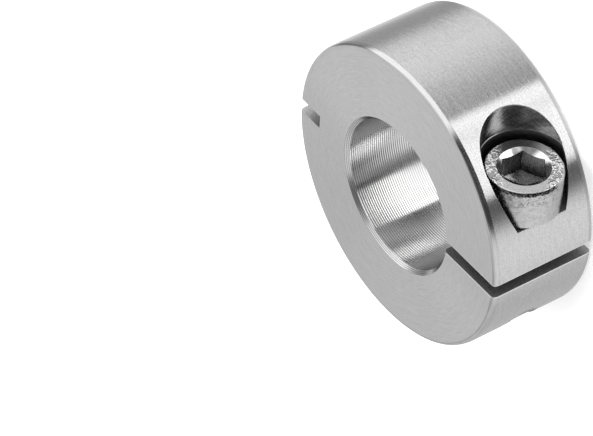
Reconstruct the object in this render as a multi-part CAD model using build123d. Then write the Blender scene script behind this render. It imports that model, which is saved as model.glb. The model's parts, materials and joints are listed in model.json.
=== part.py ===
"""Clamping ring: a slit one-piece ring that a single cap screw draws tight round a shaft.

Frame: the bore axis is Z and the ring lies on its lower face at Z = 0. The slit opens towards +X,
the screw runs along Y with its head towards +Y, and the relief cut lies opposite the slit, at -X.
Units are millimetres.
"""
import os
from math import radians, sqrt, tan

from build123d import *

# Ring body
bore_d = 20.0
ring_wall = 10.0            # from the bore to the outer surface
ring_width = 15.0
outer_edge_reach = 0.74     # of the tapered outer edges, down the outer surface
outer_edge_taper = 0.15     # of the same, in towards the bore
outer_edge_round = 0.5      # where that taper meets the flat face
bore_edge_chamfer = 0.5
rim_break = 0.12            # where the pocket and the threaded hole open through the outer surface

# Saw cuts
slit_gap = 1.8
relief_gap = 1.9
relief_depth = 4.2          # from the outer surface towards the bore

# Screw pocket
seat_height = 7.0           # from the middle of the slit to the face that the head sits on
pocket_wall = 1.4           # thinnest steel between the pocket and the bore
head_room = 0.65            # around the head, for the pocket
shank_room = 0.3            # around the thread, for the plain hole above the slit
thread_room = 0.08          # around the thread, where the lower half of the ring holds it
hole_chamfer = 0.3

# Cap screw, M6 x 16 with a 5 mm hexagon socket
thread_d = 6.0
screw_length = 16.0         # under the head
head_d = 9.8
head_height = 5.8
head_edge_drop = 0.38       # of the tapered edge round the head's face, down its side
head_edge_taper = 0.25      # of the same, in towards the axis
head_edge_round = 0.15      # where that taper meets the face
head_foot_chamfer = 0.3
neck_chamfer = 0.25         # between the thread and the underside of the head
tip_chamfer = 0.5
socket_width = 5.1          # across flats, loose on a 5 mm key
socket_depth = 3.35         # to the foot of the six walls
socket_point = 0.7          # further depth of the cone below them
socket_mouth_room = 0.4     # from the hexagon's corners to the edge of its countersink
countersink_angle = 60.0    # between the screw's axis and the countersink
socket_turn = 34.0          # from +X towards +Z, to the first corner of the hexagon

# Sizes that follow
bore_r = bore_d / 2
ring_r = bore_r + ring_wall
pocket_r = head_d / 2 + head_room
thread_r = thread_d / 2
shank_hole_r = thread_r + shank_room
thread_hole_r = thread_r + thread_room
pocket_clear_r = bore_r + pocket_wall
screw_x = sqrt(max(pocket_clear_r ** 2 - seat_height ** 2, 0)) + pocket_r
past_ring = ring_r + 1                       # reach of every cut beyond the ring
touch = 0.001                                # two points this close are one
socket_corner_r = socket_width / 2 / sqrt(0.75)
socket_mouth_r = socket_corner_r + socket_mouth_room

# Local Z is the screw's axis, from the middle of the slit towards the head
screw_frame = Plane(origin=(screw_x, 0, ring_width / 2), x_dir=(1, 0, 0), z_dir=(0, 1, 0))


def turned_ring():
    """The ring as it leaves the lathe: its section turned about the bore axis."""
    taper_r = ring_r - outer_edge_taper
    with BuildPart() as turned:
        with BuildSketch(Plane.XZ) as section:
            with BuildLine():
                Polyline(
                    (bore_r, 0),
                    (taper_r, 0),
                    (ring_r, outer_edge_reach),
                    (ring_r, ring_width - outer_edge_reach),
                    (taper_r, ring_width),
                    (bore_r, ring_width),
                    close=True,
                )
            make_face()
            fillet(section.vertices().group_by(Axis.X)[-2], radius=outer_edge_round)
            chamfer(section.vertices().group_by(Axis.X)[0], length=bore_edge_chamfer)
        revolve(axis=Axis.Z)
    return turned.part


def hole(radius, low, high):
    """A drilled space round the screw's axis, between two heights along it."""
    drill = Cylinder(radius, high - low, align=(Align.CENTER, Align.CENTER, Align.MIN))
    return screw_frame * Pos(0, 0, low) * drill


def seat_chamfer():
    """The cone that clears the neck under the head, at the mouth of the plain hole."""
    cone = Cone(shank_hole_r, shank_hole_r + hole_chamfer, hole_chamfer,
                align=(Align.CENTER, Align.CENTER, Align.MAX))
    return screw_frame * Pos(0, 0, seat_height) * cone


def saw_cut(gap, inner, outer):
    """A straight cut through the whole width, between two distances from the bore axis."""
    blade = Box(outer - inner, gap, ring_width, align=(Align.MIN, Align.CENTER, Align.MIN))
    return Pos(inner, 0, 0) * blade


def is_rim_edge(edge):
    """True where the pocket or the screw hole opens through the outer surface."""
    low = ring_width / 2 - pocket_r - touch
    high = ring_width / 2 + pocket_r + touch
    return all(
        p.X > 0 and abs(Vector(p.X, p.Y).length - ring_r) < touch and low < p.Z < high
        for p in (edge @ 0, edge @ 0.5, edge @ 1)
    )


def ring():
    """The ring: turned, bored for its screw, then slit, with the relief cut opposite."""
    body = turned_ring()
    body -= hole(pocket_r, seat_height, seat_height + past_ring)
    body -= hole(thread_hole_r, -past_ring, 0)
    body = chamfer(body.edges().filter_by(is_rim_edge), rim_break)
    body -= hole(shank_hole_r, 0, seat_height)
    body -= seat_chamfer()
    body -= saw_cut(slit_gap, 0, past_ring)
    body -= Rot(0, 0, 180) * saw_cut(relief_gap, ring_r - relief_depth, past_ring)
    return body


def screw_blank():
    """The screw without its socket: its section turned about the Z axis, seat face at Z = 0."""
    head_r = head_d / 2
    face_r = head_r - head_edge_taper
    with BuildPart() as blank:
        with BuildSketch(Plane.XZ) as section:
            with BuildLine():
                Polyline(
                    (0, -screw_length),
                    (thread_r - tip_chamfer, -screw_length),
                    (thread_r, tip_chamfer - screw_length),
                    (thread_r, 0),
                    (head_r - head_foot_chamfer, 0),
                    (head_r, head_foot_chamfer),
                    (head_r, head_height - head_edge_drop),
                    (face_r, head_height),
                    (0, head_height),
                    close=True,
                )
            make_face()
            neck = section.vertices().sort_by_distance((thread_r, 0, 0))[0]
            chamfer(neck, length=neck_chamfer)
            rim = section.vertices().sort_by_distance((face_r, 0, head_height))[0]
            fillet(rim, radius=head_edge_round)
        revolve(axis=Axis.Z)
    return blank.part


def key_socket():
    """The hexagon that the key fits, with its cone below and its countersunk mouth."""
    hexagon = RegularPolygon(socket_corner_r, 6, rotation=-socket_turn)
    walls = Pos(0, 0, head_height - socket_depth) * extrude(hexagon, socket_depth)
    point = Cone(0, socket_corner_r, socket_point, align=(Align.CENTER, Align.CENTER, Align.MAX))
    point = Pos(0, 0, head_height - socket_depth) * point
    mouth_depth = socket_mouth_r / tan(radians(countersink_angle))
    mouth = Cone(0, socket_mouth_r, mouth_depth, align=(Align.CENTER, Align.CENTER, Align.MAX))
    return walls + (point & (Pos(0, 0, -socket_point) * walls)) + Pos(0, 0, head_height) * mouth


def clamp_screw():
    """The cap screw, seated in the pocket."""
    return screw_frame * Pos(0, 0, seat_height) * (screw_blank() - key_socket())


os.makedirs("parts", exist_ok=True)
export_step(ring(), "parts/ring.step")
export_step(clamp_screw(), "parts/clamp_screw.step")
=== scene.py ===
"""Clamping ring of stainless steel: a slit, lathe-turned ring and the cap screw that draws it tight.

The bore axis is Z and the ring lies on its lower face. The slit opens towards +X, the screw runs along Y
with its head towards +Y, and the relief cut lies at -X. Shapes and patterns are worked out in millimetres,
and a finished piece is made metres.
"""
import json
from math import atan2, cos, degrees, hypot, pi, radians, sin, sqrt, tan

import bmesh
import bpy
from mathutils import Matrix, Quaternion, Vector


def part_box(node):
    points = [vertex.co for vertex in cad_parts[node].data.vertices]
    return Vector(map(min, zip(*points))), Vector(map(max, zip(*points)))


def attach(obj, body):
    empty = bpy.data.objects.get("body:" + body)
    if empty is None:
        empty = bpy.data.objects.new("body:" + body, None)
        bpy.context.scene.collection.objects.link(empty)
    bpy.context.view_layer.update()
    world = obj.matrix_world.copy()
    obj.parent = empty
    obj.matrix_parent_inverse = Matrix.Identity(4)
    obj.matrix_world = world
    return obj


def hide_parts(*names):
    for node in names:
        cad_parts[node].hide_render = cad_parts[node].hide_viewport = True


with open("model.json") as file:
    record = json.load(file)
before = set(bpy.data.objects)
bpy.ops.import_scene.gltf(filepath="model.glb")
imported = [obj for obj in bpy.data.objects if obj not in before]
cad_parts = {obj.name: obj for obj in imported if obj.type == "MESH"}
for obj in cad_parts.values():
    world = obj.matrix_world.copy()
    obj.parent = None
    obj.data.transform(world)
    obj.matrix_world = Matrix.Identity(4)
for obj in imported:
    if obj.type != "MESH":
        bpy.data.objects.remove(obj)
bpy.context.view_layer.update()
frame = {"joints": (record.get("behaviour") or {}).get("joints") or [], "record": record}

MM = 0.001                      # one millimetre, in metres


def cad_size(node, axis):
    """A CAD piece's size along one axis, in millimetres."""
    low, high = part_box(node)
    return (high[axis] - low[axis]) / MM


def mount(name):
    """One of the record's mounts."""
    return next(m for m in frame["record"]["mounts"] if m["name"] == name)


# Ring body
hair = 0.0001                   # by which the outer surface stays inside the CAD piece
ring_r = cad_size("ring", 1) / 2 - hair
ring_width = cad_size("ring", 2)
bore_r = mount("bore")["dims"]["r_mm"]
outer_edge_reach = 0.74         # of the tapered outer edges, down the outer surface
outer_edge_taper = 0.15         # of the same, in towards the bore
outer_edge_round = 0.5          # where that taper meets the flat face
bore_edge_chamfer = 0.5
edge_break = 0.1                # on the edges that the cuts leave
groove_pitch = 0.315            # feed of the boring tool
groove_depth = 0.013

# Saw cuts
slit_gap = 1.8
relief_gap = 1.9
relief_depth = 4.2

# Screw holes
seat_height = 7.0               # from the middle of the slit to the face that the head sits on
pocket_r = 5.55
pocket_step = 0.06              # the wall stands in by this much round the head
pocket_step_height = 13.7       # from the middle of the slit to where it does
shank_hole_r = 3.3
hole_chamfer = 0.3
tapped_crest_r = 3.05           # just clear of the screw's thread at any turn
tapped_root_r = 3.45

# Cap screw
screw_x = frame["joints"][0]["pos_m"][0] / MM
head_r = cad_size("clamp_screw", 0) / 2
head_height = 5.8
head_edge_drop = 0.38           # of the tapered edge round the head's face, down its side
head_edge_taper = 0.25          # of the same, in towards the axis
head_edge_round = 0.15          # where that taper meets the face
head_foot_chamfer = 0.3
neck_chamfer = 0.25
screw_length = cad_size("clamp_screw", 1) - head_height
thread_crest_r = 2.97
thread_root_r = 2.39
thread_pitch = 1.0
thread_flank_angle = 30.0       # between a flank and a plane across the axis
tip_chamfer = 0.5
stub_length = 0.4               # of plain shank above the first whole turn of the thread
socket_width = 5.1              # across flats
socket_depth = 3.35
socket_point = 0.7
socket_mouth_room = 0.4
countersink_angle = 60.0
socket_turn = 34.0
socket_edge_break = 0.05
socket_corner_r = socket_width / 2 / sqrt(0.75)
socket_mouth_r = socket_corner_r + socket_mouth_room

# Places that several shapes and finishes share
upper_taper_z = ring_width - outer_edge_reach
bore_chamfer_r = bore_r + bore_edge_chamfer
mid_z = ring_width / 2
face_y = seat_height + head_height            # face of the screw's head
relief_foot_x = relief_depth - ring_r
spare = 1.0                                   # reach of a cutting shape past what it cuts
past_ring = ring_r + 2 * spare

# Fineness of the turned shapes
ring_steps = 240
hole_steps = 144
head_steps = 144
thread_steps = 64
round_steps = 8
groove_points = 4
break_segments = 2
spare_turns = 2                 # of a thread, past each end, before it is cut to length

# Distances at which points count as one
turned_merge = 1e-5
thread_merge = 1e-4
ring_merge = 0.012
screw_merge = 0.004
near = 0.004                    # a point this close to a surface lies on it

# Shading, in degrees
sharp_angle = 35.0              # between two faces, from which their edge stays sharp
true_normal_angle = 8.0         # from a face to the normal of the round surface that it stands for

# Local Z is the screw's axis, from the middle of the slit towards the head
screw_place = Matrix((
    (1, 0, 0, screw_x),
    (0, 0, 1, 0),
    (0, -1, 0, mid_z),
    (0, 0, 0, 1),
))
seated = screw_place @ Matrix.Translation((0, 0, seat_height))


def arc(centre, radius, start, end, steps):
    """Points of an arc in the (radius, height) plane, with both ends, angles in degrees."""
    turns = [radians(start + (end - start) * k / steps) for k in range(steps + 1)]
    return [(centre[0] + radius * cos(a), centre[1] + radius * sin(a)) for a in turns]


def turned(profile, steps, closed=False, start=0.0):
    """A bmesh made by turning a profile of (radius, height) points about Z, from a start in degrees."""
    bm = bmesh.new()
    verts = [bm.verts.new((r, 0, z)) for r, z in profile]
    after = verts[1:] + verts[:1] if closed else verts[1:]
    edges = [bm.edges.new(pair) for pair in zip(verts, after)]
    bmesh.ops.rotate(bm, verts=verts, cent=(0, 0, 0), matrix=Matrix.Rotation(radians(start), 3, "Z"))
    bmesh.ops.spin(bm, geom=verts + edges, cent=(0, 0, 0), axis=(0, 0, 1), angle=2 * pi, steps=steps,
                   use_merge=True)
    bmesh.ops.remove_doubles(bm, verts=bm.verts, dist=turned_merge)
    bmesh.ops.recalc_face_normals(bm, faces=bm.faces)
    return bm


def block(low, high):
    """A bmesh box between two corners."""
    bm = bmesh.new()
    bmesh.ops.create_cube(bm, size=1)
    size = [b - a for a, b in zip(low, high)]
    middle = [(a + b) / 2 for a, b in zip(low, high)]
    bmesh.ops.scale(bm, vec=size, verts=bm.verts)
    bmesh.ops.translate(bm, vec=middle, verts=bm.verts)
    return bm


def made_verts(made):
    """The vertices among what a bmesh operator has made."""
    return [g for g in made["geom"] if isinstance(g, bmesh.types.BMVert)]


def threaded_rod(crest, root, low, high):
    """A right-hand threaded rod about Z, closed flat at both ends."""
    crest_flat = thread_pitch / 8
    flank = (crest - root) * tan(radians(thread_flank_angle))
    profile = [
        (crest, 0),
        (crest, crest_flat),
        (root, crest_flat + flank),
        (root, thread_pitch - flank),
        (crest, thread_pitch),
    ]
    bm = bmesh.new()
    verts = [bm.verts.new((r, 0, low - spare_turns * thread_pitch + z)) for r, z in profile]
    edges = [bm.edges.new(pair) for pair in zip(verts, verts[1:])]
    bmesh.ops.spin(bm, geom=verts + edges, cent=(0, 0, 0), axis=(0, 0, 1), angle=2 * pi,
                   dvec=(0, 0, thread_pitch / thread_steps), steps=thread_steps)
    one_turn = bm.verts[:] + bm.edges[:] + bm.faces[:]
    for turn in range(1, int((high - low) / thread_pitch) + 2 * spare_turns):
        copy = bmesh.ops.duplicate(bm, geom=one_turn)
        bmesh.ops.translate(bm, vec=(0, 0, turn * thread_pitch), verts=made_verts(copy))
    bmesh.ops.remove_doubles(bm, verts=bm.verts, dist=thread_merge)
    for height, outwards in ((low, -1), (high, 1)):
        geom = bm.verts[:] + bm.edges[:] + bm.faces[:]
        cut = bmesh.ops.bisect_plane(bm, geom=geom, plane_co=(0, 0, height), plane_no=(0, 0, outwards),
                                     clear_outer=True)
        rim = [g for g in cut["geom_cut"] if isinstance(g, bmesh.types.BMEdge)]
        bmesh.ops.contextual_create(bm, geom=rim)
    bmesh.ops.recalc_face_normals(bm, faces=bm.faces)
    return bm


def solid(bm, name, material, place=None):
    """An object with the bmesh's shape and one material, still in millimetres."""
    if place is not None:
        bmesh.ops.transform(bm, matrix=place, verts=bm.verts)
    mesh = bpy.data.meshes.new(name)
    bm.to_mesh(mesh)
    bm.free()
    mesh.materials.append(material)
    piece = bpy.data.objects.new(name, mesh)
    bpy.context.scene.collection.objects.link(piece)
    return piece


def applied(piece):
    """Works the piece's modifiers into its mesh."""
    depsgraph = bpy.context.evaluated_depsgraph_get()
    mesh = bpy.data.meshes.new_from_object(piece.evaluated_get(depsgraph))
    piece.modifiers.clear()
    piece.data = mesh


def combine(piece, operation, *tools):
    """Cuts the tools from the piece, joins them to it, or keeps what they share."""
    for tool in tools:
        modifier = piece.modifiers.new(tool.name, "BOOLEAN")
        modifier.operation = operation
        modifier.solver = "EXACT"
        modifier.material_mode = "TRANSFER"
        modifier.object = tool
        applied(piece)
        bpy.data.objects.remove(tool)


def break_edges(piece, width, merge):
    """Bevels each edge where one machining finish meets another."""
    bm = bmesh.new()
    bm.from_mesh(piece.data)
    bmesh.ops.remove_doubles(bm, verts=bm.verts, dist=merge)
    rim = [
        e for e in bm.edges
        if len(e.link_faces) == 2 and e.link_faces[0].material_index != e.link_faces[1].material_index
    ]
    bmesh.ops.bevel(bm, geom=rim, offset=width, offset_type="OFFSET", segments=break_segments, profile=0.5,
                    affect="EDGES", material=-1, clamp_overlap=False, loop_slide=True)
    bm.to_mesh(piece.data)
    bm.free()


def shade(piece, rounds=(), creases=()):
    """Shades the piece smooth but for its sharp edges, and its round surfaces exactly from their axes.

    A round surface is a placing matrix, a radius, a lowest and a highest height, and 1 outside or -1 inside.
    A crease is the radius and height about Z of an edge that stays sharp although its angle is small.
    """
    piece.data.shade_smooth()
    piece.data.set_sharp_from_angle(angle=radians(sharp_angle))
    for edge in piece.data.edges:
        ends = [piece.data.vertices[v].co for v in edge.vertices]
        if any(all(hypot(hypot(x, y) - r, z - height) < near for x, y, z in ends) for r, height in creases):
            edge.use_edge_sharp = True
    modifier = piece.modifiers.new("even_shading", "WEIGHTED_NORMAL")
    modifier.keep_sharp = True
    applied(piece)
    mesh = piece.data
    true_normals = {}
    for place, radius, low, high, side in rounds:
        to_axis = place.inverted()
        turn = place.to_3x3()
        for vertex in mesh.vertices:
            x, y, z = to_axis @ vertex.co
            if abs(hypot(x, y) - radius) < near and low - near < z < high + near:
                normal = turn @ Vector((x, y, 0)) * side / radius
                true_normals.setdefault(vertex.index, []).append(normal)
    normals = [corner.vector.copy() for corner in mesh.corner_normals]
    for face in mesh.polygons:
        for corner in face.loop_indices:
            for normal in true_normals.get(mesh.loops[corner].vertex_index, ()):
                if normal.dot(face.normal) > cos(radians(true_normal_angle)):
                    normals[corner] = normal
    mesh.normals_split_custom_set(normals)


def finished(piece, name):
    """Names the piece and makes it metres."""
    piece.name = name
    piece.data.name = name
    piece.data.transform(Matrix.Scale(MM, 4))
    return piece


class Level:
    """A number that changes over a surface. Python's operators on it add Math nodes."""

    def __init__(self, finish, socket):
        self.finish = finish
        self.socket = socket

    def __add__(self, other):
        return self.finish.math("ADD", self, other)

    def __radd__(self, other):
        return self.finish.math("ADD", other, self)

    def __sub__(self, other):
        return self.finish.math("SUBTRACT", self, other)

    def __rsub__(self, other):
        return self.finish.math("SUBTRACT", other, self)

    def __mul__(self, other):
        return self.finish.math("MULTIPLY", self, other)

    def __rmul__(self, other):
        return self.finish.math("MULTIPLY", other, self)

    def __truediv__(self, other):
        return self.finish.math("DIVIDE", self, other)

    def __pow__(self, other):
        return self.finish.math("POWER", self, other)

    def __abs__(self):
        return self.finish.math("ABSOLUTE", self)


class Finish:
    """A material's or the world's node tree, with short ways to add nodes."""

    def __init__(self, owner):
        owner.use_nodes = True
        self.tree = owner.node_tree
        self.tree.nodes.clear()

    def node(self, kind, settings=None, values=None):
        """Adds a node: its settings first, then the values or links of its sockets."""
        made = self.tree.nodes.new(kind)
        for key, value in (settings or {}).items():
            setattr(made, key, value)
        for key, value in (values or {}).items():
            socket = made.inputs[key]
            if isinstance(value, Level):
                value = value.socket
            if isinstance(value, bpy.types.NodeSocket):
                self.tree.links.new(value, socket)
            else:
                socket.default_value = value
        return made

    def math(self, operation, *values):
        """Adds a Math node, with its sockets given in order."""
        made = self.node("ShaderNodeMath", {"operation": operation}, dict(enumerate(values)))
        return Level(self, made.outputs[0])

    def rise(self, value, low, high):
        """0 below low, 1 above high, and a smooth rise between."""
        sockets = {"Value": value, "From Min": low, "From Max": high}
        made = self.node("ShaderNodeMapRange", {"interpolation_type": "SMOOTHSTEP"}, sockets)
        return Level(self, made.outputs["Result"])

    def fall(self, value, low, high):
        """1 below low, 0 above high, and a smooth fall between."""
        return 1 - self.rise(value, low, high)

    def wave(self, value, pitch):
        """1 at every whole number of pitches, -1 half-way between."""
        return self.math("COSINE", value * (2 * pi / pitch))

    def noise(self, vector, scale, detail=2.0, roughness=0.5):
        """Smooth noise from 0 to 1."""
        sockets = {"Vector": vector, "Scale": scale, "Detail": detail, "Roughness": roughness}
        return Level(self, self.node("ShaderNodeTexNoise", {}, sockets).outputs[0])

    def vector(self, x, y, z):
        """A vector from three numbers."""
        return self.node("ShaderNodeCombineXYZ", {}, {"X": x, "Y": y, "Z": z}).outputs[0]

    def parts(self, vector):
        """A vector's three numbers."""
        outputs = self.node("ShaderNodeSeparateXYZ", {}, {0: vector}).outputs
        return [Level(self, part) for part in outputs]

    def place(self, centre=(0, 0, 0)):
        """The three Object coordinates in millimetres, from a centre given in millimetres."""
        coordinates = self.node("ShaderNodeTexCoord").outputs["Object"]
        sockets = {"Vector": coordinates, "Scale": (1 / MM,) * 3, "Location": [-c for c in centre]}
        return self.parts(self.node("ShaderNodeMapping", {"vector_type": "POINT"}, sockets).outputs[0])

    def bump(self, height, strength, distance=0.01):
        """The normal that a height gives, with the distance in millimetres."""
        sockets = {"Height": height, "Strength": strength, "Distance": distance * MM}
        return self.node("ShaderNodeBump", {}, sockets).outputs[0]


# Details of the finishes, in millimetres
skin = 0.02                     # depth of the outer surface's own finish
chamfer_mark_pitch = 0.16       # of the crisp circular marks on the bore's chamfers
slit_highlight_width = 0.24               # of the painted highlight along the slit
face_end_inset = 0.48           # from the outer surface to the line of painted shade where the flat face ends
head_line_drop = 0.54           # from the head's face to the ragged foot of the painted line of shade and highlight under it
head_line_soft = 0.12
mottle_drop = 3.4               # from the head's face to where the mottling on its side fades out
round_marks = 0.25              # turn of anisotropic highlights, for marks that run round Z

# Azimuths in the bore, in degrees from +X
crisp_azimuth = 230.8           # middle of the wall on which the grooves are crisp
blurred_azimuth = 222.0         # middle of the low part on which they are blurred

# Grey and roughness of each finish, before its marks are added
turned_grey = 0.43
turned_roughness = 0.17
bored_grey = 0.52
bored_roughness = 0.15
# the milled grey is kept low by painted shade in the pocket and the hole
milled_grey = 0.2
milled_roughness = 0.34
tapped_grey = 0.45
tapped_roughness = 0.28
# the sawn grey is kept low by painted shade in the cuts
sawn_grey = 0.1
sawn_roughness = 0.45
screw_grey = 0.33
screw_roughness = 0.2
countersunk_grey = 0.72
countersunk_roughness = 0.1
socket_grey = 0.31
socket_roughness = 0.2


def steel(name):
    """A new material and its nodes."""
    material = bpy.data.materials.new(name)
    return material, Finish(material)


def coat(finish, grey, roughness, normal, anisotropic=0.0, turn=0.0):
    """Closes a metal's nodes: grey and roughness are levels or numbers, the rest are the same all over."""
    if isinstance(grey, Level):
        channels = {"Red": grey, "Green": grey, "Blue": grey}
        colour = finish.node("ShaderNodeCombineColor", {}, channels).outputs[0]
    else:
        colour = (grey, grey, grey, 1)
    sockets = {
        "Base Color": colour,
        "Metallic": 1.0,
        "Roughness": roughness,
        "Normal": normal,
        "Anisotropic": anisotropic,
        "Anisotropic Rotation": turn,
    }
    shader = finish.node("ShaderNodeBsdfPrincipled", {}, sockets)
    finish.node("ShaderNodeOutputMaterial", {}, {"Surface": shader.outputs[0]})


def towards(x, y, azimuth):
    """How far a point lies from the bore axis in one direction, in degrees from +X towards +Y."""
    return x * cos(radians(azimuth)) + y * sin(radians(azimuth))


def turned_steel():
    """The lathe's finish: fine marks round the bore axis, and crisper ones on the bore's chamfers.

    The outer surface is grainier. The upper edge is polished between two lines of painted shade, the lower
    one is duller, and a painted highlight runs along the slit. Painted shading makes the faces lighter
    towards +Y, and painted shade darkens the bore's chamfers there.
    """
    material, f = steel("turned_steel")
    x, y, z = f.place()
    radius = (x * x + y * y) ** 0.5

    # Where each part of the finish lies, from 0 to 1
    outside = f.rise(radius, ring_r - 2 * skin, ring_r - skin)
    chamfer = f.fall(radius, bore_chamfer_r - 0.03, bore_chamfer_r + 0.03)
    slit_edge = abs(abs(y) - slit_gap / 2)
    # Painted highlight along both edges of the slit
    slit_highlight = f.fall(slit_edge, edge_break, slit_highlight_width) * f.rise(x, 0.0, 1.0)
    rim = f.rise(radius, ring_r - 1.0, ring_r - outer_edge_round)
    upper_edge = f.rise(z, upper_taper_z, upper_taper_z + 2 * skin) * rim
    lower_edge = f.fall(z, outer_edge_reach - 2 * skin, outer_edge_reach) * rim
    # Painted shade: a dark line where the upper taper meets the outer surface
    crease = f.fall(abs(z - upper_taper_z), 0.02, 0.09) * f.rise(radius, ring_r - 0.5, ring_r - 0.1)
    # Painted shade: a dark line where the upper flat face ends, on the -Y half
    face_end_shade = f.fall(abs(radius - (ring_r - face_end_inset)), 0.03, 0.14)
    face_end_shade = face_end_shade * f.fall(y, -3.0, 0.0) * f.rise(z, ring_width - 1.0, ring_width - 0.5)

    # The marks run round the axis and differ at each radius and height
    across = radius + z * 1.37
    around = f.vector(x / radius * 9.0, y / radius * 9.0, across * 5.0)
    fine = f.noise(around, scale=1.0, detail=3.0, roughness=0.7)
    grain = f.noise(f.vector(x, y, z), scale=5.0, detail=3.0, roughness=0.7)
    rings = f.wave(radius, chamfer_mark_pitch) * chamfer

    grey = turned_grey + fine * 0.24 + grain * 0.14 + rings * 0.18 + slit_highlight * 0.22
    # Painted shade: the dark lines at the crease and the face's end, and the bore's chamfers darker towards
    # +Y
    grey = grey - upper_edge * 0.04 - crease * 0.1 - face_end_shade * 0.13 - chamfer * f.rise(y, 0.0, 4.0) * 0.16
    # The outer surface is darker and grainier; inside it, painted shading makes the steel lighter towards +Y
    grey = grey + outside * (fine * 0.04 + grain * 0.34 - 0.19) + (1 - outside) * (y / radius) * 0.03
    roughness = turned_roughness + fine * 0.06 + grain * 0.06
    roughness = roughness - chamfer * 0.08 - upper_edge * 0.1 + lower_edge * 0.2
    height = fine * 0.6 + grain * (0.4 + outside * 0.4)
    normal = f.bump(height, strength=0.4, distance=0.012)
    coat(f, grey, roughness, normal, anisotropic=1.0, turn=round_marks)
    return material


def bored_steel():
    """The bore's finish: bright, with painted shade in grooves that are crisp on one wall and blurred in the
    rest.
    """
    material, f = steel("bored_steel")
    x, y, z = f.place()
    # Painted light: a pale band on the bore towards -Y
    pale = f.fall(y, -9.7, -7.0)
    # Away from the crisp wall the bore is rougher and the painted shade in its grooves is fainter
    rough_faint_shade = f.fall(towards(x, y, crisp_azimuth), 3.6, 7.6)
    blurred = f.fall(z, 5.0, 13.0) * f.rise(towards(x, y, blurred_azimuth), 9.3, 9.9)
    grain = f.noise(f.vector(x * 0.15, y * 0.15, z * 3.0), scale=1.0, detail=3.0, roughness=0.6)
    # Painted shade in the bottoms of the grooves, lighter on their crests
    grooves = f.wave(z - bore_edge_chamfer, groove_pitch)
    grey = bored_grey + grooves * (0.26 - rough_faint_shade * 0.2 - blurred * 0.14)
    grey = grey + grain * 0.12 + pale * 0.14 + blurred * 0.06
    roughness = bored_roughness + grain * 0.06 + rough_faint_shade * 0.2 + blurred * 0.12
    coat(f, grey, roughness, f.bump(grain, strength=0.1), anisotropic=0.8, turn=round_marks)
    return material


def milled_steel():
    """The pocket and the plain hole: tool marks that cross, on steel darkened by painted shade.

    The pocket is brighter above its step, and painted light makes it brightest there towards the ring's
    upper face.
    """
    material, f = steel("milled_steel")
    x, y, z = f.place((screw_x, 0, mid_z))
    radius = (x * x + z * z) ** 0.5
    turn = f.math("ARCTAN2", z, x)
    marks = 0
    for lean in (1, -1):
        slanted = f.vector(turn * 7.0 + y * 2.2 * lean, y * 0.25 - turn * 0.7 * lean, radius * 2.0)
        streaks = f.noise(slanted, scale=1.0, detail=4.0, roughness=0.75)
        marks = marks + f.rise(streaks, 0.38, 0.62) * 0.5
    upper = f.rise(y, pocket_step_height - 0.05, pocket_step_height + 0.03)
    # Painted light: brighter towards the ring's upper face and +X, above the step
    painted_light = f.rise(x * 0.3 + z, 0.6, 3.0)
    added = 0.02 + marks * (0.2 + painted_light * 0.6) + painted_light * 0.26
    grey = milled_grey + marks * 0.12 + upper * added
    roughness = milled_roughness - upper * 0.17 + marks * 0.06
    coat(f, grey, roughness, f.bump(marks, strength=0.15, distance=0.03))
    return material


def tapped_steel():
    """The cut thread in the lower half of the ring."""
    material, f = steel("tapped_steel")
    x, y, z = f.place()
    grain = f.noise(f.vector(x, y, z), scale=6.0)
    coat(f, tapped_grey, tapped_roughness + grain * 0.12, f.bump(grain, strength=0.2))
    return material


def sawn_steel():
    """The walls of the slit and the relief cut: fine straight marks across the width, on a rough grey
    darkened by painted shade.

    Painted shade makes the slit darker away from the outer surface and low in its mouth; the relief cut is
    lighter.
    """
    material, f = steel("sawn_steel")
    x, y, z = f.place()
    marks = f.noise(f.vector(x * 9.0, y * 2.0, z * 0.5), scale=1.0, detail=3.0, roughness=0.6)
    grain = f.noise(f.vector(x, y, z), scale=5.0, detail=2.0, roughness=0.6)
    # Painted shade: the cuts are darker away from the outer surface
    outer = f.rise(x, 10.0, 14.5) + f.fall(x, -19.5, -16.0)
    # Painted shade low in the slit's mouth
    mouth_shade = f.rise(z, 0.5, 1.6) * f.fall(z, 4.0, 8.0) * f.rise(x, 0.0, 1.0)
    relief = f.fall(x, -1.0, 0.0)
    grey = (sawn_grey + marks * 0.14 + grain * 0.34) * (0.6 + outer * 0.4)
    grey = grey * (1 - mouth_shade * 0.18 + relief * 0.7)
    height = marks * 0.6 + grain * 0.4
    coat(f, grey, sawn_roughness + marks * 0.15, f.bump(height, strength=0.5, distance=0.03))
    return material


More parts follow.
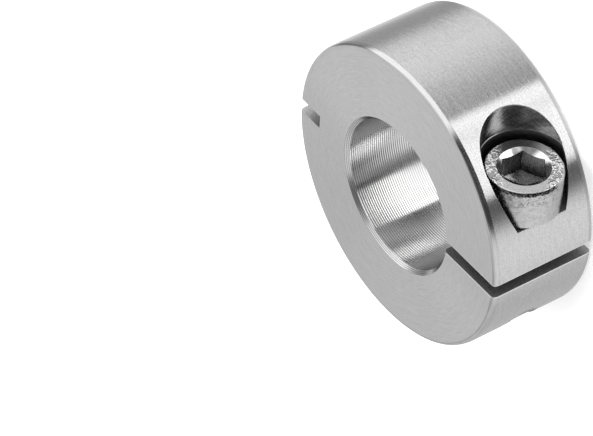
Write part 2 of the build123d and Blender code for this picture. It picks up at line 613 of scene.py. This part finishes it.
def screw_steel():
    """The screw's cold-formed finish: mottled, with small dark pits, mostly high on the side of the head.

    The face is blotchy at both sides of the socket, and a ragged painted line runs under its edge: painted
    shade towards the ring's upper face and a painted highlight towards its lower face.
    """
    material, f = steel("screw_steel")
    x, y, z = f.place()
    spot = f.vector(x, y, z)
    coarse = f.noise(spot, scale=1.3, detail=2.0, roughness=0.6)
    fine = f.noise(spot, scale=3.2, detail=3.0, roughness=0.65)
    speckle = f.noise(spot, scale=4.5, detail=2.0, roughness=0.6)
    blobs = f.rise(f.noise(spot, scale=2.6, detail=1.0, roughness=0.5), 0.4, 0.6)

    # Places on the head, from 0 to 1: its side, the upper part of that, and two parts of its face
    along = x - screw_x
    beside = z - mid_z
    away = (along * along + beside * beside) ** 0.5
    flank = f.fall(y, face_y - 0.1, face_y - 0.04)
    upper = f.rise(y, face_y - mottle_drop, face_y - 1.0) * flank
    sides = f.rise(abs(along * 0.6 - beside * 0.8), 2.4, 3.3) * (1 - flank)

    # The painted line covers the head's tapered edge but for its bright rim: painted shade towards the
    # ring's upper face, a painted highlight towards its lower face
    line_y = face_y - head_line_drop
    under = f.rise(y + (fine - 0.5) * 0.9, line_y, line_y + head_line_soft)
    line = under * f.fall(y + away * 0.5, face_y + 2.24, face_y + 2.3) * f.rise(away, 4.6, 4.66)

    pits = f.rise(fine, 0.48, 0.56) * f.rise(coarse, 0.35, 0.6) * (0.1 + flank * 0.25 + upper * 0.65)
    dots = f.rise(speckle, 0.52, 0.62) * (0.25 + flank * 0.25 + upper * 0.5)
    grey = screw_grey + fine * 0.12 + speckle * 0.48 - dots * 0.24 - pits * 0.26
    # Painted shade and painted highlight along the head's edge, by side
    grey = grey + sides * (0.26 - blobs * 0.42) - line * (f.rise(beside, -2.6, -0.6) * 0.75 - 0.3)
    roughness = screw_roughness + coarse * 0.1 + pits * 0.04
    height = fine * 0.5 + speckle * 0.2 + coarse * 0.3 - pits * 0.7 - blobs * sides * 2.2
    coat(f, grey, roughness, f.bump(height, strength=0.9, distance=0.05))
    return material


def countersunk_steel():
    """The socket's bright countersink, with painted shadow over one part."""
    material, f = steel("countersunk_steel")
    x, y, z = f.place()
    grain = f.noise(f.vector(x, y, z), scale=3.0, detail=3.0, roughness=0.6)
    # Painted shadow over one part of the countersink
    shaded = f.fall(z, mid_z - 1.9, mid_z - 1.3) * f.fall(x, screw_x - 1.6, screw_x - 0.6)
    grey = countersunk_grey - shaded * 0.66 + grain * 0.2
    roughness = countersunk_roughness + grain * 0.12
    coat(f, grey, roughness, f.bump(grain, strength=0.3, distance=0.02))
    return material


def socket_steel():
    """The hexagon, streaked as the punch left it: painted shade towards its foot, painted light on one side
    of its floor.
    """
    material, f = steel("socket_steel")
    x, y, z = f.place()
    floor_y = face_y - socket_depth
    streaks = f.noise(f.vector(x * 4.0, y * 0.25, z * 4.0), scale=1.0, detail=3.0, roughness=0.6)
    streaks = f.rise(streaks, 0.3, 0.7)
    bottom = f.fall(y, floor_y - 0.05, floor_y + 0.05)
    # Painted light on one side of the socket's floor, and painted shade towards the hexagon's foot
    lit = f.rise(z + streaks * 0.8, mid_z - 0.3, mid_z + 1.1)
    foot_shade = f.fall(y, floor_y, floor_y + 1.5)
    grey = (socket_grey + streaks * 0.24) * (1 - foot_shade * 0.6) + bottom * lit * 0.76
    roughness = socket_roughness + streaks * 0.12
    coat(f, grey, roughness, f.bump(streaks, strength=0.35, distance=0.02))
    return material


def tapered_corner(outer_r, height, drop, taper, radius):
    """Points of a turned corner: a taper, from its foot on the side, and an arc out into the face."""
    slope = degrees(atan2(taper, drop))
    centre_r = outer_r - taper - radius * tan(radians(45 - slope / 2))
    return [(outer_r, height - drop)] + arc((centre_r, height - radius), radius, slope, 90, round_steps)


def ring_profile():
    """The ring's section: a grooved, chamfered bore and an outer surface with tapered edges."""
    bore_length = ring_width - 2 * bore_edge_chamfer
    grooves = round(bore_length / groove_pitch)
    points = []
    for step in range(grooves * groove_points + 1):
        share = step % groove_points / groove_points
        depth = groove_depth * (1 - (2 * share - 1) ** 2)
        height = bore_edge_chamfer + bore_length * step / (grooves * groove_points)
        points.append((bore_r + depth, height))
    corner = tapered_corner(ring_r, ring_width, outer_edge_reach, outer_edge_taper, outer_edge_round)
    points.append((bore_chamfer_r, ring_width))
    points += corner[::-1]
    points += [(r, ring_width - z) for r, z in corner]
    points.append((bore_chamfer_r, 0))
    return points


def drill_profile():
    """The pocket and the plain hole below it, as one stepped drill that ends at the middle of the slit."""
    lower_r = pocket_r - pocket_step
    return [
        (0, 0),
        (shank_hole_r, 0),
        (shank_hole_r, seat_height - hole_chamfer),
        (shank_hole_r + hole_chamfer, seat_height),
        (lower_r, seat_height),
        (lower_r, pocket_step_height - pocket_step),
        (pocket_r, pocket_step_height),
        (pocket_r, past_ring),
        (0, past_ring),
    ]


def saw_blade(gap, inner, outer):
    """A straight cut through the whole width, between two places along X."""
    return block((inner, -gap / 2, -spare), (outer, gap / 2, ring_width + spare))


def is_bore_wall(face):
    """True for a face of the bore between its two chamfers."""
    x, y, z = face.center
    return hypot(x, y) < bore_r + bore_edge_chamfer / 2 and abs(face.normal.z) < 0.5


def ring_piece():
    """The ring: turned, drilled and tapped for its screw, slit, and relieved opposite the slit."""
    milled = milled_steel()
    sawn = sawn_steel()
    ring = solid(turned(ring_profile(), ring_steps, closed=True), "ring_blank", turned_steel())
    pocket = solid(turned(drill_profile(), hole_steps, start=1.0), "pocket", milled, screw_place)
    cutter = threaded_rod(tapped_root_r, tapped_crest_r, -past_ring, 0)
    tap = solid(cutter, "tap", tapped_steel(), screw_place)
    slit = solid(saw_blade(slit_gap, spare, past_ring), "slit", sawn)
    relief = solid(saw_blade(relief_gap, -past_ring, relief_foot_x), "relief", sawn)
    combine(ring, "DIFFERENCE", pocket, tap, slit, relief)
    break_edges(ring, edge_break, ring_merge)
    shade(ring, [
        (Matrix(), ring_r, outer_edge_reach, upper_taper_z, 1),
        (screw_place, pocket_r - pocket_step, seat_height, pocket_step_height - pocket_step, -1),
        (screw_place, pocket_r, pocket_step_height, past_ring, -1),
        (screw_place, shank_hole_r, 0, seat_height - hole_chamfer, -1),
    ], creases=[(ring_r, outer_edge_reach), (ring_r, upper_taper_z)])
    ring.data.materials.append(bored_steel())
    for face in filter(is_bore_wall, ring.data.polygons):
        face.material_index = len(ring.data.materials) - 1
    return finished(ring, "ring_body")


def head_profile():
    """The head's section, with the neck under it, down into the top of the thread."""
    stub_z = -neck_chamfer - spare
    neck = [
        (0, stub_z),
        (thread_root_r, stub_z),
        (thread_crest_r, -neck_chamfer - stub_length),
        (thread_crest_r, -neck_chamfer),
        (thread_crest_r + neck_chamfer, 0),
    ]
    side = [(head_r - head_foot_chamfer, 0), (head_r, head_foot_chamfer)]
    corner = tapered_corner(head_r, head_height, head_edge_drop, head_edge_taper, head_edge_round)
    return neck + side + corner + [(0, head_height)]


def key_socket(material):
    """The hexagon with its conical floor and countersunk mouth, as a solid to cut away.

    A hexagonal prism trims a round bar, a little wider than its corners, whose point is the conical floor.
    """
    above_z = head_height + spare
    floor_z = head_height - socket_depth
    bar_r = socket_corner_r * 1.02
    bar = turned([
        (0, floor_z - socket_point),
        (bar_r, floor_z + socket_point * (bar_r / socket_corner_r - 1)),
        (bar_r, above_z),
        (0, above_z),
    ], head_steps)
    prism = bmesh.new()
    bmesh.ops.create_circle(prism, cap_ends=True, segments=6, radius=socket_corner_r)
    turn = Matrix.Rotation(radians(-socket_turn - 90), 3, "Z")
    bmesh.ops.rotate(prism, verts=prism.verts, cent=(0, 0, 0), matrix=turn)
    bmesh.ops.translate(prism, verts=prism.verts, vec=(0, 0, floor_z - 2 * socket_point))
    walls = bmesh.ops.extrude_face_region(prism, geom=prism.faces[:])
    bmesh.ops.translate(prism, verts=made_verts(walls), vec=(0, 0, above_z + spare - floor_z))
    bmesh.ops.recalc_face_normals(prism, faces=prism.faces)
    flare = 1 / tan(radians(countersink_angle))
    mouth_past = 0.5
    mouth = turned([
        (0, head_height - socket_mouth_r * flare),
        (socket_mouth_r + mouth_past, head_height + mouth_past * flare),
        (0, head_height + mouth_past * flare),
    ], head_steps)
    key = solid(bar, "key", material, seated)
    combine(key, "INTERSECT", solid(prism, "hexagon", material, seated))
    combine(key, "UNION", solid(mouth, "countersink", countersunk_steel(), seated))
    return key


def threaded_shank(metal):
    """The thread under the head, with its chamfered tip."""
    top = -neck_chamfer - stub_length / 2
    rod = threaded_rod(thread_crest_r, thread_root_r, -screw_length - spare / 2, top)
    thread = solid(rod, "thread", metal, seated)
    past = thread_crest_r + 0.3
    tip_r = thread_crest_r - tip_chamfer
    tip = turned([
        (0, -screw_length),
        (tip_r, -screw_length),
        (past, past - tip_r - screw_length),
        (past, spare),
        (0, spare),
    ], head_steps)
    combine(thread, "INTERSECT", solid(tip, "tip", metal, seated))
    return thread


def screw_piece():
    """The cap screw, seated in the pocket: head with its socket, neck and threaded shank."""
    metal = screw_steel()
    thread = threaded_shank(metal)
    screw = solid(turned(head_profile(), head_steps, start=0.7), "head", metal, seated)
    combine(screw, "DIFFERENCE", key_socket(socket_steel()))
    break_edges(screw, socket_edge_break, screw_merge)
    combine(screw, "UNION", thread)
    shade(screw)
    return finished(screw, "cap_screw")


# Studio panels by the direction in which they lie, in degrees: azimuth from and to, with the softness of
# each end, elevation from and to, with the softness of each end, and brightness. Later panels lie over
# earlier ones.
straight_down = (-95, 1)
panels = [
    ((-125, 20), (-58, 24), straight_down, (10, 30), 0.64),     # greyer wall far to the side
    ((-50, 40), (-8, 14), straight_down, (30, 30), 1.0),        # pale side wall
    ((-118, 12), (-62, 20), (34, 10), (60, 20), 0.55),          # dark strip above the greyer wall
    ((0, 14), (74, 18), straight_down, (58, 45), 0.18),         # dark space round the camera
    ((-16, 14), (52, 50), (40, 20), (76, 20), 0.18),            # its wider top
    ((4, 14), (68, 18), (-20, 10), (40, 40), 0.06),             # its darkest part
    ((74, 18), (165, 12), (-23, 8), (48, 50), 1.45),            # large soft light overhead
    ((162, 20), (204, 20), straight_down, (-14, 14), 0.46),     # dim gap beyond it
    ((166, 14), (198, 16), (-16, 10), (22, 20), 0.24),          # its darkest part
    ((206, 14), (236, 16), (-60, 20), (-4, 16), 1.15),          # pale card straight behind
    ((82, 3), (112, 50), straight_down, (-21.5, 8), 0.05),      # dark card below
    ((21, 5), (82, 3), straight_down, (-23, 8), 2.4),           # bright card below
    ((64, 10), (82, 3), straight_down, (-23, 8), 2.0),          # its duller end
]
plain_level = 0.77              # between the panels


def studio():
    """The world: white to the camera, and panelled for what metal mirrors and dull surfaces catch."""
    world = bpy.data.worlds.new("studio")
    bpy.context.scene.world = world
    f = Finish(world)
    x, y, z = f.parts(f.node("ShaderNodeTexCoord").outputs["Generated"])
    azimuth = f.math("ARCTAN2", y, x) * degrees(1)
    elevation = f.math("ARCSINE", z) * degrees(1)
    level = plain_level
    for (left, left_soft), (right, right_soft), (low, low_soft), (high, high_soft), brightness in panels:
        middle = (left + right) / 2
        off = f.math("WRAP", azimuth - middle, 180, -180)
        mask = (
            f.rise(off, left - middle - left_soft / 2, left - middle + left_soft / 2)
            * f.fall(off, right - middle - right_soft / 2, right - middle + right_soft / 2)
            * f.rise(elevation, low - low_soft / 2, low + low_soft / 2)
            * f.fall(elevation, high - high_soft / 2, high + high_soft / 2)
        )
        level = mask * (brightness - level) + level
    mirrored = f.node("ShaderNodeBackground", {}, {"Color": (1, 1, 1, 1), "Strength": level})
    white = f.node("ShaderNodeBackground", {}, {"Color": (1, 1, 1, 1), "Strength": 1.0})
    to_camera = f.node("ShaderNodeLightPath").outputs["Is Camera Ray"]
    seen = f.node("ShaderNodeMixShader", {}, {0: to_camera, 1: mirrored.outputs[0], 2: white.outputs[0]})
    f.node("ShaderNodeOutputWorld", {}, {"Surface": seen.outputs[0]})


floor_size = 3.0                # half the floor's side, in metres
floor_drop = 0.01               # millimetres below the ring, so that the two surfaces don't coincide
floor_tone = 0.8
floor_glow = 0.45               # what lifts the floor to white for the camera


def floor():
    """A pale floor that keeps the ring's shadow, clear when it is looked at from below."""
    material, f = steel("pale_floor")
    to_camera = Level(f, f.node("ShaderNodeLightPath").outputs["Is Camera Ray"])
    shaded = f.node("ShaderNodeBsdfDiffuse", {}, {"Color": (floor_tone, floor_tone, floor_tone, 1)})
    glow = f.node("ShaderNodeEmission", {}, {"Strength": to_camera * floor_glow})
    both = f.node("ShaderNodeAddShader", {}, {0: shaded.outputs[0], 1: glow.outputs[0]})
    clear = f.node("ShaderNodeBsdfTransparent")
    below = f.node("ShaderNodeNewGeometry").outputs["Backfacing"]
    shown = f.node("ShaderNodeMixShader", {}, {0: below, 1: both.outputs[0], 2: clear.outputs[0]})
    f.node("ShaderNodeOutputMaterial", {}, {"Surface": shown.outputs[0]})
    bm = bmesh.new()
    bmesh.ops.create_grid(bm, x_segments=1, y_segments=1, size=floor_size / MM)
    bmesh.ops.translate(bm, vec=(0, 0, -floor_drop), verts=bm.verts)
    sheet = finished(solid(bm, "floor", material), "floor")
    sheet.visible_glossy = False
    sheet.visible_shadow = False


lamp_place = Vector((-0.1, 0.1, 0.6))
lamp_size = 0.5
lamp_power = 3.0


def lamp():
    """One large soft lamp overhead, aimed at the ring, for the floor and its shadow."""
    light = bpy.data.lights.new("soft_lamp", "AREA")
    light.shape = "DISK"
    light.size = lamp_size
    light.energy = lamp_power
    lamp_object = bpy.data.objects.new("soft_lamp", light)
    bpy.context.scene.collection.objects.link(lamp_object)
    lamp_object.location = lamp_place
    lamp_object.rotation_euler = (-lamp_place).to_track_quat("-Z", "Y").to_euler()
    lamp_object.visible_glossy = False


# The photograph's view: where its middle meets the ring's middle plane, and how the camera lies to it
aim = Vector((-0.02909, -0.03145, 0.0075))
view_azimuth = 50.793
view_elevation = 25.967
view_distance = 0.53997
view_roll = -114.987
lens = 247.864
sensor_width = 36


def camera():
    """The camera at the photograph's place."""
    across = cos(radians(view_elevation))
    away = Vector((
        cos(radians(view_azimuth)) * across,
        sin(radians(view_azimuth)) * across,
        sin(radians(view_elevation)),
    ))
    eye = bpy.data.objects.new("camera", bpy.data.cameras.new("camera"))
    bpy.context.scene.collection.objects.link(eye)
    eye.data.lens = lens
    eye.data.sensor_width = sensor_width
    eye.data.clip_start = 0.01
    eye.data.clip_end = 20
    eye.location = aim + away * view_distance
    eye.rotation_mode = "QUATERNION"
    roll = Quaternion((0, 0, 1), radians(view_roll))
    eye.rotation_quaternion = (-away).to_track_quat("-Z", "Y") @ roll
    bpy.context.scene.camera = eye


bpy.context.scene.view_settings.view_transform = "Standard"
camera()
studio()
floor()
lamp()

ring = ring_piece()
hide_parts("ring")
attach(ring, "ring")

screw = screw_piece()
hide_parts("clamp_screw")
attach(screw, "screw")
